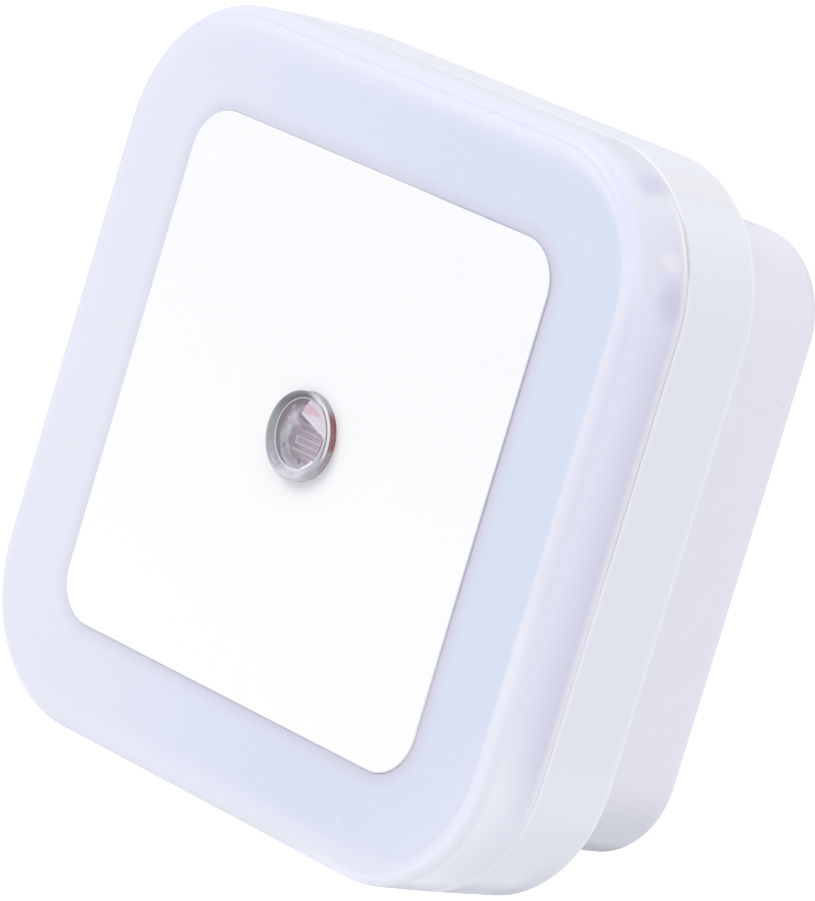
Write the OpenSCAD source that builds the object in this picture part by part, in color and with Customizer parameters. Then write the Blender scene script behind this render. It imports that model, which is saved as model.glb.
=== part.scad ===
// A square plug in night light with a light sensor in the middle of its front.
// Every piece is drawn lying on the wall plane, with x to the right, y up and z the distance out
// from the wall. stand_up() then turns it so that +Z is up and +Y runs into the wall.

/* [Outline] */
// Width and height of the square front
face_w = 62; // [58:1:70]
// Radius of the front's corners, seen from the front
corner_r = 12.6; // [10:0.2:14]
// Depth from the wall to the front of the rim
depth = 26.8; // [25:0.2:34]
// Thickness of the moulded side walls
wall = 1.6; // [1.2:0.1:2]

/* [Plinth] */
// Width and height of the narrower back part that stands against the wall
plinth_w = 52.8; // [49:0.4:56]
// Radius of the plinth's corners, seen from the back
plinth_corner_r = 7.7; // [5:0.1:9]
// Depth of the plinth, from the wall to the step of the casing
plinth_depth = 13; // [12.4:0.2:16]
// Radius of the round along the plinth's back edge
plinth_edge_r = 1.8; // [0.6:0.1:3]
// Thickness of the wall that the blades pass through
back_t = 1.8; // [1.4:0.1:2.4]

/* [Wide casing] */
// How far the casing narrows on each side from the parting line to its step
tray_draft = 0.2; // [0:0.05:0.3]
// Radius of the round along the casing's step
step_edge_r = 0.5; // [0.2:0.1:1]

/* [Diffuser] */
// Depth of the translucent rim, from the front to the parting line
rim_depth = 6.1; // [5:0.1:8]
// Width of the rounded edge between the front ring and the rim
rim_round_w = 1.2; // [0.8:0.1:2.4]
// Depth of that rounded edge
rim_round_d = 1.1; // [0.4:0.1:2]
// Thickness of the diffuser's front
front_t = 1.6; // [1.4:0.1:2.2]
// Width of the thin groove that shows at the parting line
parting_gap = 0.12; // [0.06:0.02:0.3]
// Thickness of the skirt that plugs into the casing
skirt_t = 1.1; // [0.8:0.1:1.5]
// Length of the skirt behind the parting line
skirt_depth = 2.6; // [2:0.1:3.2]
// Gap between pieces that plug into each other
fit_gap = 0.1; // [0.05:0.01:0.15]
// Height of the snap ridges on the skirt
snap_h = 0.35; // [0.2:0.05:0.5]
// Length of each snap ridge
snap_w = 10; // [6:1:16]
// Diameter of the corner pegs
peg_d = 2.4; // [1.6:0.1:2.6]
// Angle of each corner peg from its corner's diagonal
peg_angle = 14; // [10:1:20]

/* [Front plate] */
// Width and height of the white plate in the front
plate_w = 44.3; // [36:0.5:50]
// Radius of the plate's corners
plate_corner_r = 4; // [2:0.5:8]
// Thickness of the plate
plate_t = 0.95; // [0.7:0.05:1.2]
// How far the plate stands in front of the ring
plate_proud = 0.15; // [0.05:0.05:0.3]
// Bevel along the plate's front edge
plate_bevel = 0.12; // [0.05:0.01:0.2]

/* [Light sensor] */
// Place of the sensor to the right of the middle
sensor_x = 0.5; // [-2:0.1:2]
// Place of the sensor above the middle
sensor_y = 0.1; // [-2:0.1:2]
// Diameter of the clear lens where it comes through the plate
lens_d = 7.3; // [7:0.1:9]
// How far the lens stands in front of the plate
lens_proud = 0.95; // [0.4:0.05:2]
// Width of the raised rim round the lens, with the slope on its inner side
lens_rim_w = 0.5; // [0.4:0.05:0.8]
// Depth of the dish inside that rim
lens_dish = 0.4; // [0.2:0.05:0.6]
// Thickness of the lens's window
lens_window_t = 0.6; // [0.4:0.1:0.9]
// Width of the flange that holds the lens behind the front
lens_flange_w = 1.1; // [0.7:0.1:1.5]
// Thickness of that flange
lens_flange_t = 0.9; // [0.6:0.1:1.2]
// Diameter of the sensor's ceramic disc
sensor_d = 5.1; // [4:0.1:5.3]
// Thickness of the ceramic disc
sensor_t = 2; // [1.4:0.1:2.6]
// Height of the disc across its two flats
sensor_flats = 4.4; // [3.8:0.1:4.8]
// Thickness of the metal film and of the track on the disc
film_t = 0.12; // [0.06:0.02:0.2]
// Number of passes that the light sensitive track makes
track_passes = 6; // [5:1:7]
// Width of the track
track_w = 0.3; // [0.2:0.02:0.34]
// Distance between two leads of the sensor
sensor_lead_pitch = 3.4; // [2.6:0.1:3.8]

/* [Plug] */
// Distance between the middles of the two blades
blade_pitch = 12.7; // [12.2:0.1:13.2]
// Thickness of a blade
blade_t = 1.5; // [1.3:0.1:1.7]
// Height of a blade across its flat
blade_w = 6.35; // [5.8:0.05:7]
// Length of a blade behind the casing
blade_l = 16.5; // [15:0.5:18]
// Diameter of the hole near a blade's end
blade_hole_d = 3.2; // [2.6:0.1:3.6]
// Distance of that hole from the casing
blade_hole_at = 11.9; // [10.5:0.1:12.4]
// Bevel at the blade's end
blade_bevel = 1.4; // [0.6:0.1:2]

/* [Inside] */
// Thickness of the circuit board
board_t = 1.2; // [0.8:0.1:1.6]
// How far the board's edge lies on the casing's step
board_lap = 0.8; // [0.4:0.1:1.2]
// Diameter of the bosses under the board
boss_d = 5.6; // [4.8:0.1:6]
// Diameter of the screws
screw_d = 2.2; // [1.8:0.1:2.4]
// Thickness of the plate that clamps the blades
retainer_t = 3.5; // [3:0.1:4.5]
// Height of the pad inside the back wall that carries the blades
pad_h = 2.2; // [1.8:0.1:2.8]
// Diameter of the insulated wires
wire_d = 1.6; // [1.2:0.1:1.8]
// Diameter of the component leads
lead_d = 0.6; // [0.4:0.05:0.8]

/* [Hidden] */
$fn = 64;

// Amount by which a cut runs past the face that it opens
past = 1;
// Short overlap that joins two solids of one piece
weld = 0.3;
// Smallest gap, for pieces that are pressed or clamped together
close_gap = 0.05;
// Gap round a screw or beside a film, where nothing has to touch
free_gap = 0.2;

// Heights above the wall
parting_z = depth - rim_depth;
step_z = plinth_depth + wall;
board_top = step_z + board_t;
web_z = depth - front_t;
plate_top = depth + plate_proud;
plate_bottom = plate_top - plate_t;
skirt_z = parting_z - skirt_depth;
snap_place = 0.55;
snap_z = parting_z - snap_place * skirt_depth;
shoulder_z = parting_z + front_t;
lens_top = plate_top + lens_proud;
lens_back = web_z - lens_flange_t;
window_z = lens_top - lens_dish - lens_window_t;
pad_top = back_t + pad_h;
retainer_top = pad_top + retainer_t;

// Half widths, from the middle out
face_half = face_w / 2;
tray_in = face_half - wall;
skirt_out = tray_in - fit_gap;
skirt_in = skirt_out - skirt_t;
plinth_half = plinth_w / 2;
plinth_in = plinth_half - wall;
plate_half = plate_w / 2;
board_half = plinth_in + board_lap;
board_corner_r = 6;

// Light sensor
lens_r = lens_d / 2;
lens_bore_r = lens_r - lens_rim_w - close_gap;
flange_r = lens_r + lens_flange_w;
sleeve_out_r = flange_r - free_gap - close_gap;
sleeve_in_r = lens_bore_r + 2 * close_gap;
sensor_r = sensor_d / 2;
window_gap = 0.5;
sensor_top = window_z - window_gap - film_t;
sensor_bottom = sensor_top - sensor_t;
film_r = sensor_r - free_gap;
film_gap = 0.04;
track_reach = 0.58;
track_half = track_reach * film_r;
track_pitch = 2 * track_half / (track_passes - 1);
lead_r = lead_d / 2;
sensor_lead_at = [for (s = [-1, 1]) [sensor_x + s * sensor_lead_pitch / 2, sensor_y]];

// Screws, bosses and the blade clamp
screw_r = screw_d / 2;
screw_hole_r = screw_r + free_gap;
pilot_r = screw_r + close_gap;
head_r = 0.9 * screw_d;
head_h = 0.6 * screw_d;
boss_inset = 1.8;
boss_at = plinth_in - boss_d / 2 - boss_inset;
boss_places = [for (x = [-1, 1], y = [-1, 1]) [x * boss_at, y * boss_at]];
board_screw_l = 7;
retainer_side = 2.65;
retainer_w = blade_pitch + 2 * retainer_side;
retainer_h = 22;
retainer_screw_inset = 3;
retainer_places = [for (s = [-1, 1]) [0, s * (retainer_h / 2 - retainer_screw_inset)]];
pilot_floor = 1;

// Blades
blade_x = blade_pitch / 2;
shoulder_side = 1.3;
shoulder_w = blade_w + 2 * shoulder_side;
shoulder_t = 1.5;
tail_w = 3.4;
tail_l = 2.5;
tail_top = retainer_top + tail_l;
slot_gap = fit_gap;

// Wires
wire_r = wire_d / 2;
wire_x = blade_x - blade_t / 2 - wire_r - close_gap;
wire_y = -5;
wire_seam = 2;
wire_start = tail_top - wire_seam;
wire_core_r = 0.4 * wire_d;
wire_rings = 16;
wire_sides = 8;

// Components that hang behind the board, by the middle of each
dropper_at = [0, 16];
dropper_size = [13, 5.6, 10.5];
dropper_lead_pitch = 10;
smoothing_at = [-13, -13];
smoothing_d = 6.3;
smoothing_l = 10.5;
smoothing_lead_pitch = 2.5;
bleeder_at = [12, -11.5];
bleeder_d = 2.3;
bleeder_l = 6;
inrush_at = [0, -17];
inrush_d = 3.2;
inrush_l = 8.5;
resistor_lead_run = 1.4;
function pair(at, pitch) = [for (s = [-1, 1]) [at[0] + s * pitch / 2, at[1]]];
hung_leads = concat(
    pair(dropper_at, dropper_lead_pitch),
    pair(smoothing_at, smoothing_lead_pitch),
    pair(bleeder_at, bleeder_l + 2 * resistor_lead_run),
    pair(inrush_at, inrush_l + 2 * resistor_lead_run)
);
wire_ends = [for (s = [-1, 1]) [s * wire_x, wire_y]];
solder_r = 0.85;
solder_h = 0.8;

// Components on the front of the board
led_inset = 10;
led_at = board_half - led_inset;
led_places = [for (x = [-1, 1], y = [-1, 1]) [x * led_at, y * led_at]];
led_size = [3.5, 2.8, 0.7];
phosphor_r = 1.05;
phosphor_t = 0.1;
rectifier_at = [-12.5, 6.5];
rectifier_size = [4.7, 3.9, 2.4];
rectifier_lead_pitch = 2.5;
transistor_at = [12, 7];
transistor_size = [2.9, 1.3, 1];
chip_places = [[12, 1.5], [12, -2], [-12.5, -1], [-12.5, -4.5]];
chip_size = [3.2, 1.6, 0.55];
foot_t = 0.25;
foot_l = 0.8;

// ---------- shapes that several pieces share ----------

// Turns a piece drawn on the wall plane so that it stands upright with its front towards -Y.
module stand_up() {
    rotate([90, 0, 0]) children();
}

// A rectangle with round corners, centred.
module round_rect(w, h, r) {
    square([w, h - 2 * r], center = true);
    square([w - 2 * r, h], center = true);
    for (x = [-1, 1], y = [-1, 1]) translate([x * (w / 2 - r), y * (h / 2 - r)]) circle(r);
}

// A prism with a square outline and round corners, from z0 to z1.
module square_prism(half, r, z0, z1) {
    translate([0, 0, z0]) linear_extrude(z1 - z0) round_rect(2 * half, 2 * half, r);
}

// A moulded block with a square outline, round corners and a shaped edge. The edge is a list of
// [inset, z] points from the bottom to the top, and it runs along the sides and round the corners.
module moulded_block(half, corner, edge) {
    straight = half - corner;
    low = edge[0][1];
    high = edge[len(edge) - 1][1];
    for (turn = [0:90:270]) rotate([0, 0, turn]) {
        translate([0, straight, 0]) rotate([90, 0, 0]) linear_extrude(2 * straight)
            polygon(concat([[0, low]], [for (p = edge) [half - p[0], p[1]]], [[0, high]]));
        translate([straight, straight, 0]) rotate_extrude(angle = 90)
            polygon(concat([[0, low]], [for (p = edge) [corner - p[0], p[1]]], [[0, high]]));
    }
}

// Quarter of an ellipse as [inset, z] points: it starts inset at z0 and ends upright at z0 + rise.
function round_up(w, rise, z0, steps = 6) =
    [for (i = [0:steps]) [w * (1 - sin(90 * i / steps)), z0 + rise * (1 - cos(90 * i / steps))]];

// The same quarter turned over: it starts upright at z1 - rise and ends inset at z1.
function round_over(w, rise, z1, steps = 6) =
    [for (i = [0:steps]) [w * (1 - cos(90 * i / steps)), z1 - rise * (1 - sin(90 * i / steps))]];

module at_each(places) {
    for (p = places) translate([p[0], p[1], 0]) children();
}

module post(r, z0, z1) {
    translate([0, 0, z0]) cylinder(r = r, h = z1 - z0);
}

// ---------- casing ----------

// One moulding: a wide tray in front, a narrower plinth behind it, and the seats for what it carries.
module rear_casing() {
    color("white") stand_up() difference() {
        union() {
            difference() {
                casing_outside();
                casing_hollow();
            }
            at_each(boss_places) post(boss_d / 2, back_t - weld, step_z);
            blade_pad();
        }
        at_each(boss_places) post(pilot_r, step_z - board_screw_l, step_z + past);
        at_each(retainer_places) post(pilot_r, pilot_floor, pad_top + past);
        for (s = [-1, 1]) blade_slot(s);
        for (turn = [0:90:270]) rotate([0, 0, turn]) snap_groove();
    }
}

module casing_outside() {
    moulded_block(plinth_half, plinth_corner_r,
        concat(round_up(plinth_edge_r, plinth_edge_r, 0), [[0, plinth_depth + wall / 2]]));
    moulded_block(face_half, corner_r,
        concat([for (p = round_up(step_edge_r, step_edge_r, plinth_depth, 3)) [tray_draft + p[0], p[1]]],
            [[0, parting_z - parting_gap / 2]]));
}

module casing_hollow() {
    square_prism(plinth_in, plinth_corner_r - wall, back_t, step_z + past);
    square_prism(tray_in, corner_r - wall, step_z, parting_z + past);
}

// Raised pad inside the back wall, which the blades' shoulders stand on.
module blade_pad() {
    translate([0, 0, back_t - weld]) linear_extrude(pad_h + weld) round_rect(retainer_w, retainer_h, 2);
}

module blade_slot(side) {
    translate([side * blade_x, 0, pad_top / 2])
        cube([blade_t + 2 * slot_gap, blade_w + 2 * slot_gap, pad_top + 2 * past], center = true);
}

// Groove in the casing's wall that a snap ridge clicks into.
module snap_groove() {
    translate([tray_in - past, -snap_w / 2 - 2 * fit_gap, snap_z - 2 * snap_h - fit_gap])
        cube([past + snap_h + fit_gap, snap_w + 4 * fit_gap, 4 * snap_h + 2 * fit_gap]);
}

// ---------- diffuser ----------

// One translucent moulding: the ring and rim that show, the skirt that snaps into the casing,
// the recess for the plate, and a pair of pegs in each corner.
module diffuser() {
    color([0.88, 0.9, 0.98]) stand_up() union() {
        difference() {
            union() {
                moulded_block(face_half, corner_r,
                    concat([[0, parting_z + parting_gap / 2]],
                        round_over(rim_round_w, rim_round_d, depth)));
                square_prism(skirt_out, corner_r - wall - fit_gap, skirt_z, parting_z + 2 * parting_gap);
                for (turn = [0:90:270]) rotate([0, 0, turn]) snap_ridge();
            }
            square_prism(skirt_in, corner_r - face_half + skirt_in, skirt_z - past, shoulder_z);
            square_prism(tray_in, corner_r - wall, shoulder_z - weld, web_z);
            square_prism(plate_half + fit_gap, plate_corner_r + fit_gap, plate_bottom, depth + past);
            translate([sensor_x, sensor_y]) post(lens_r + fit_gap, web_z - past, depth + past);
        }
        corner_pegs();
    }
}

module snap_ridge() {
    tip = fit_gap + snap_h;
    translate([skirt_out, snap_w / 2, snap_z]) rotate([90, 0, 0]) linear_extrude(snap_w)
        polygon([[-skirt_t / 2, -2 * snap_h], [0, -2 * snap_h], [tip, -snap_h / 2],
            [tip, snap_h / 2], [0, 2 * snap_h], [-skirt_t / 2, 2 * snap_h]]);
}

module corner_pegs() {
    bend = face_half - corner_r;
    reach = corner_r - wall - 2 * fit_gap - peg_d / 2;
    for (turn = [0:90:270], side = [-1, 1]) rotate([0, 0, turn])
        translate([bend, bend, 0]) rotate([0, 0, 45 + side * peg_angle]) translate([reach, 0, 0])
            post(peg_d / 2, step_z + 3 * fit_gap, web_z + weld);
}

// ---------- front plate and light sensor ----------

module front_plate() {
    color([0.98, 0.98, 0.99]) stand_up() difference() {
        moulded_block(plate_half, plate_corner_r,
            [[0, plate_bottom], [0, plate_top - plate_bevel], [plate_bevel, plate_top]]);
        translate([sensor_x, sensor_y]) post(lens_r + fit_gap, plate_bottom - past, plate_top + past);
    }
}

// Clear cap with a raised rim, a shallow dish in front and a bore behind for the sensor.
module sensor_lens() {
    lip = lens_rim_w / 3;
    slope = 0.6 * lens_rim_w;
    dish_r = lens_r - lens_rim_w;
    dish_z = lens_top - lens_dish;
    color([0.75, 0.75, 0.78, 0.5]) stand_up() translate([sensor_x, sensor_y]) rotate_extrude()
        polygon(concat(
            [[lens_bore_r, lens_back], [flange_r, lens_back], [flange_r, web_z], [lens_r, web_z]],
            [for (a = [0:15:90]) [lens_r - lip + lip * cos(a), lens_top - lip + lip * sin(a)]],
            [[dish_r + slope, lens_top], [dish_r, dish_z], [0, dish_z], [0, window_z],
                [lens_bore_r, window_z]]));
}

// Opaque tube that keeps the lamp's own light away from the sensor.
module sensor_sleeve() {
    color([0.9, 0.9, 0.9]) stand_up() translate([sensor_x, sensor_y]) difference() {
        post(sleeve_out_r, board_top, lens_back);
        post(sleeve_in_r, board_top - past, lens_back + past);
    }
}

module sensor_outline(r, flats) {
    intersection() {
        circle(r);
        square([2 * r + past, flats], center = true);
    }
}

module sensor_body() {
    color([0.9, 0.86, 0.82]) stand_up() translate([sensor_x, sensor_y, sensor_bottom])
        linear_extrude(sensor_t) sensor_outline(sensor_r, sensor_flats);
}

// The track winds to and fro, so the metal film on either side of it forms two combs.
module track_outline(w) {
    for (i = [0:track_passes - 1]) {
        y = i * track_pitch - track_half;
        translate([0, y]) square([2 * track_half + w, w], center = true);
        if (i < track_passes - 1)
            translate([(i % 2 == 0 ? 1 : -1) * track_half, y + track_pitch / 2])
                square([w, track_pitch + w], center = true);
    }
}

module sensor_track() {
    color([0.85, 0.55, 0.62]) stand_up() translate([sensor_x, sensor_y, sensor_top])
        linear_extrude(film_t) track_outline(track_w);
}

module sensor_electrodes() {
    tail = film_r + past;
    low = track_w / 2 + film_gap;
    color([0.62, 0.63, 0.67]) stand_up() translate([sensor_x, sensor_y, sensor_top])
        linear_extrude(film_t) difference() {
            sensor_outline(film_r, sensor_flats - 2 * free_gap);
            track_outline(track_w + 2 * film_gap);
            // Two breaks that part the combs where the track starts and ends
            translate([-tail, -track_half - low]) square([tail, 2 * low]);
            translate([track_passes % 2 == 0 ? -tail : 0, track_half - low]) square([tail, 2 * low]);
        }
}

module sensor_leads() {
    color([0.8, 0.8, 0.82]) stand_up() at_each(sensor_lead_at) post(lead_r, step_z, sensor_bottom);
}

// ---------- circuit board and what is soldered to it ----------

module circuit_board() {
    color([0.93, 0.93, 0.9]) stand_up() difference() {
        square_prism(board_half, board_corner_r, step_z, board_top);
        at_each(boss_places) post(screw_hole_r, step_z - past, board_top + past);
        at_each(concat(hung_leads, sensor_lead_at)) post(lead_r + fit_gap, step_z - past, board_top + past);
        at_each(wire_ends) post(wire_core_r + fit_gap, step_z - past, board_top + past);
    }
}

module led_packages() {
    color([0.95, 0.95, 0.93]) stand_up() at_each(led_places) translate([0, 0, board_top])
        linear_extrude(led_size[2]) round_rect(led_size[0], led_size[1], 0.3);
}

module led_phosphor() {
    color([0.95, 0.85, 0.3]) stand_up() at_each(led_places)
        post(phosphor_r, board_top + led_size[2], board_top + led_size[2] + phosphor_t);
}

module dropper_capacitor() {
    color([0.9, 0.75, 0.2]) stand_up() union() {
        translate([dropper_at[0], dropper_at[1], step_z - dropper_size[2]])
            linear_extrude(dropper_size[2]) round_rect(dropper_size[0], dropper_size[1], 0.6);
        at_each(pair(dropper_at, dropper_lead_pitch)) post(lead_r, step_z - weld, board_top);
    }
}

module smoothing_capacitor() {
    r = smoothing_d / 2;
    top = step_z;
    low = top - smoothing_l;
    color([0.2, 0.22, 0.3]) stand_up() union() {
        translate([smoothing_at[0], smoothing_at[1], 0]) rotate_extrude()
            polygon([[0, low + 0.2], [r - 0.9, low + 0.2], [r - 0.7, low], [r - 0.2, low], [r, low + 0.3],
                [r, top - 2], [r - 0.3, top - 1.7], [r - 0.3, top - 1.3], [r, top - 1], [r, top - 0.2],
                [r - 0.3, top], [0, top]]);
        at_each(pair(smoothing_at, smoothing_lead_pitch)) post(lead_r, step_z - weld, board_top);
    }
}

// A resistor that lies behind the board, with its leads bent into it.
module axial_resistor(at, d, l) {
    r = d / 2;
    z = step_z - r - 2 * free_gap;
    cap = 0.9 * r;
    span = l / 2 + resistor_lead_run;
    translate([at[0], at[1], z]) rotate([0, 90, 0]) rotate_extrude()
        polygon([[0, -l / 2], [cap, -l / 2], [r, -l / 2 + 0.3], [r, -l / 4], [cap, -l / 4 + 0.3],
            [cap, l / 4 - 0.3], [r, l / 4], [r, l / 2 - 0.3], [cap, l / 2], [0, l / 2]]);
    translate([at[0] - span, at[1], z]) rotate([0, 90, 0]) post(lead_r, 0, 2 * span);
    at_each(pair(at, 2 * span)) {
        translate([0, 0, z]) sphere(lead_r);
        post(lead_r, z, board_top);
    }
}

module bleeder_resistor() {
    color([0.85, 0.75, 0.6]) stand_up() axial_resistor(bleeder_at, bleeder_d, bleeder_l);
}

module inrush_resistor() {
    color([0.45, 0.6, 0.75]) stand_up() axial_resistor(inrush_at, inrush_d, inrush_l);
}

// A foot of a component that lies on the board: a flat pad with a riser against the body's side.
module foot(w, rise) {
    translate([-weld, -w / 2, 0]) cube([foot_l + weld, w, foot_t]);
    translate([-weld, -w / 2, 0]) cube([weld + foot_t, w, rise]);
}

module rectifier() {
    color([0.15, 0.15, 0.16]) stand_up() translate([rectifier_at[0], rectifier_at[1], board_top]) union() {
        translate([0, 0, rectifier_size[2] / 2]) cube(rectifier_size, center = true);
        for (turn = [0, 180], y = [-1, 1]) rotate([0, 0, turn])
            translate([rectifier_size[0] / 2, y * rectifier_lead_pitch / 2, 0])
                foot(0.6, rectifier_size[2] / 2);
    }
}

module transistor() {
    color([0.15, 0.15, 0.16]) stand_up() translate([transistor_at[0], transistor_at[1], board_top]) union() {
        translate([0, 0, transistor_size[2] / 2]) cube(transistor_size, center = true);
        for (x = [-0.95, 0.95]) translate([x, -transistor_size[1] / 2, 0]) rotate([0, 0, -90])
            foot(0.4, transistor_size[2] / 2);
        translate([0, transistor_size[1] / 2, 0]) rotate([0, 0, 90]) foot(0.4, transistor_size[2] / 2);
    }
}

module chip_resistors() {
    color([0.12, 0.12, 0.14]) stand_up() at_each(chip_places) translate([0, 0, board_top])
        linear_extrude(chip_size[2]) square([chip_size[0], chip_size[1]], center = true);
}

module solder_joints() {
    color([0.75, 0.76, 0.78]) stand_up() union() {
        at_each(concat(hung_leads, wire_ends)) translate([0, 0, board_top])
            cylinder(r1 = solder_r, r2 = lead_r, h = solder_h);
        at_each(sensor_lead_at) translate([0, 0, step_z - solder_h])
            cylinder(r1 = lead_r, r2 = solder_r, h = solder_h);
    }
}

// ---------- plug ----------

// Height and sideways place along a wire, for t from 0 at the blade to 1 at the board.
function wire_z(t) = wire_start + (step_z - wire_start) * t;
function wire_off(t) = wire_y * t * t * (3 - 2 * t);
function wire_lean(t) = atan2(6 * wire_y * t * (1 - t), step_z - wire_start);

// A wire that bends in one upright plane, as rings of points joined by triangles.
module swept_wire() {
    points = [for (i = [0:wire_rings], j = [0:wire_sides - 1])
        let (t = i / wire_rings, a = 360 * j / wire_sides, lean = wire_lean(t), out = wire_r * sin(a))
            [wire_r * cos(a), wire_off(t) + out * cos(lean), wire_z(t) - out * sin(lean)]];
    sides = [for (i = [0:wire_rings - 1], j = [0:wire_sides - 1])
        let (k = (j + 1) % wire_sides, a = i * wire_sides, b = a + wire_sides)
            each [[a + j, b + j, b + k], [a + j, b + k, a + k]]];
    first = [for (j = [0:wire_sides - 1]) j];
    last = [for (j = [wire_sides - 1:-1:0]) wire_rings * wire_sides + j];
    polyhedron(points, concat(sides, [first, last]));
}

module wire(side) {
    stand_up() translate([side * wire_x, 0, 0]) union() {
        swept_wire();
        translate([0, wire_y, 0]) post(wire_core_r, step_z - weld, board_top);
    }
}

module live_wire() {
    color([0.15, 0.15, 0.16]) wire(1);
}

module neutral_wire() {
    color([0.93, 0.93, 0.93]) wire(-1);
}

// A flat blade with a bevelled end and a hole, a shoulder inside the casing and a tail for the wire.
module blade(side) {
    w = blade_w / 2;
    shoulder = shoulder_w / 2;
    tail = tail_w / 2;
    shoulder_top = pad_top + shoulder_t;
    half_profile = [[w - blade_bevel, -blade_l], [w, -blade_l + blade_bevel], [w, pad_top],
        [shoulder, pad_top], [shoulder, shoulder_top], [tail, shoulder_top], [tail, tail_top]];
    outline = concat(half_profile, [for (i = [len(half_profile) - 1:-1:0])
        [-half_profile[i][0], half_profile[i][1]]]);
    stand_up() translate([side * blade_x - blade_t / 2, 0, 0]) difference() {
        rotate([90, 0, 90]) linear_extrude(blade_t) polygon(outline);
        translate([-past, 0, -blade_hole_at]) rotate([0, 90, 0])
            cylinder(d = blade_hole_d, h = blade_t + 2 * past);
    }
}

module live_blade() {
    color([0.82, 0.8, 0.74]) blade(1);
}

module neutral_blade() {
    color([0.82, 0.8, 0.74]) blade(-1);
}

// Clamp plate with a pocket over each blade's shoulder and a slot for its tail.
module blade_retainer() {
    color([0.85, 0.85, 0.84]) stand_up() difference() {
        translate([0, 0, pad_top]) linear_extrude(retainer_t) round_rect(retainer_w, retainer_h, 2);
        for (s = [-1, 1]) translate([s * blade_x, 0, 0]) {
            translate([0, 0, pad_top]) cube([blade_t + 2 * slot_gap, shoulder_w + 2 * slot_gap,
                2 * (shoulder_t + slot_gap)], center = true);
            translate([0, 0, retainer_top]) cube([blade_t + 2 * slot_gap, tail_w + 2 * slot_gap,
                2 * retainer_t + past], center = true);
        }
        at_each(retainer_places) post(screw_hole_r, pad_top - past, retainer_top + past);
    }
}

// ---------- screws ----------

// A pan head screw with a cross recess. Its head stands on z = seat and its shank goes down l.
module screw(seat, l) {
    recess_w = 0.22 * screw_d;
    recess_h = head_h / 2;
    difference() {
        union() {
            translate([0, 0, seat - l]) cylinder(r1 = screw_r / 2, r2 = screw_r, h = screw_r);
            post(screw_r, seat - l + screw_r, seat + head_h / 2);
            translate([0, 0, seat]) rotate_extrude() polygon(concat([[0, 0]],
                [for (a = [0:15:75]) [head_r * cos(a), head_h * sin(a)]], [[0, head_h * sin(75)]]));
        }
        for (turn = [0, 90]) translate([0, 0, seat + head_h]) rotate([0, 0, turn])
            cube([1.2 * head_r, recess_w, 2 * recess_h], center = true);
    }
}

module board_screws() {
    color([0.7, 0.7, 0.72]) stand_up() at_each(boss_places) screw(board_top, board_screw_l);
}

module retainer_screws() {
    color([0.7, 0.7, 0.72]) stand_up() at_each(retainer_places)
        screw(retainer_top, retainer_top - pilot_floor - free_gap);
}

rear_casing();
diffuser();
front_plate();
sensor_lens();
sensor_sleeve();
sensor_body();
sensor_electrodes();
sensor_track();
sensor_leads();
circuit_board();
led_packages();
led_phosphor();
dropper_capacitor();
smoothing_capacitor();
rectifier();
transistor();
bleeder_resistor();
inrush_resistor();
chip_resistors();
live_wire();
neutral_wire();
live_blade();
neutral_blade();
blade_retainer();
board_screws();
retainer_screws();
solder_joints();
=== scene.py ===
"""A square plug in night light, dressed over its solid model: moulded shells, sensor cap and plug."""

import math
from contextlib import contextmanager

import bmesh
import bpy
from bpy.props import FloatProperty, FloatVectorProperty, PointerProperty
from mathutils import Matrix, Vector


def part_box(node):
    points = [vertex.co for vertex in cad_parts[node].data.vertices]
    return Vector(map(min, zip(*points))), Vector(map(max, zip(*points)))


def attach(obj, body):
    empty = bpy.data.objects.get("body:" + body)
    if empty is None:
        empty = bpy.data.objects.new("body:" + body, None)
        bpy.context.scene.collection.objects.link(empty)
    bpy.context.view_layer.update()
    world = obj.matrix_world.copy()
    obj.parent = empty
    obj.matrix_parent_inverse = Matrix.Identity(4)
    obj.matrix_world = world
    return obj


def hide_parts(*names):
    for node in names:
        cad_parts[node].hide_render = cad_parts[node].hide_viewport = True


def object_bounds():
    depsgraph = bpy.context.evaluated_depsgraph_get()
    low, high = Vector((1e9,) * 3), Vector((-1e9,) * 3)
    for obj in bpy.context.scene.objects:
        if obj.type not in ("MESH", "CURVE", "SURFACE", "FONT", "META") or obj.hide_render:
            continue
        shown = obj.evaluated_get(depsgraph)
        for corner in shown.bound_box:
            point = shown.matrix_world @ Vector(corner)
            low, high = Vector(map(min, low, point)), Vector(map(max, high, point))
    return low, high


bl_info = {
    "name": "Plug in night light",
    "version": (1, 0, 0),
    "blender": (4, 5, 0),
    "location": "3D View > Sidebar > Night light",
    "description": "Models the shells, sensor cap and plug of a night light and gives every piece its finish",
    "category": "Object",
}

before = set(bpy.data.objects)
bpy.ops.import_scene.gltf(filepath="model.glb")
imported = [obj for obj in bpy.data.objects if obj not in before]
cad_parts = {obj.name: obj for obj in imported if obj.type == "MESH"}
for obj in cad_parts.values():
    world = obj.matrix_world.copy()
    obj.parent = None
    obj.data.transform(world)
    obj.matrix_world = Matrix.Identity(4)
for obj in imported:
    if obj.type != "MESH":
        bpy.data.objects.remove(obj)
cad_low, cad_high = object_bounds()

MM = 0.001
TINY = 1e-7
# Segments in a corner's quarter turn, and points round a circle that meets it
CORNER_STEPS = 24
CIRCLE_POINTS = 4 * (CORNER_STEPS + 1)
FILLET_STEPS = 8
LIP_STEPS = 4
SMOOTH_ANGLE = math.radians(32)
BODY = "root"

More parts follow.
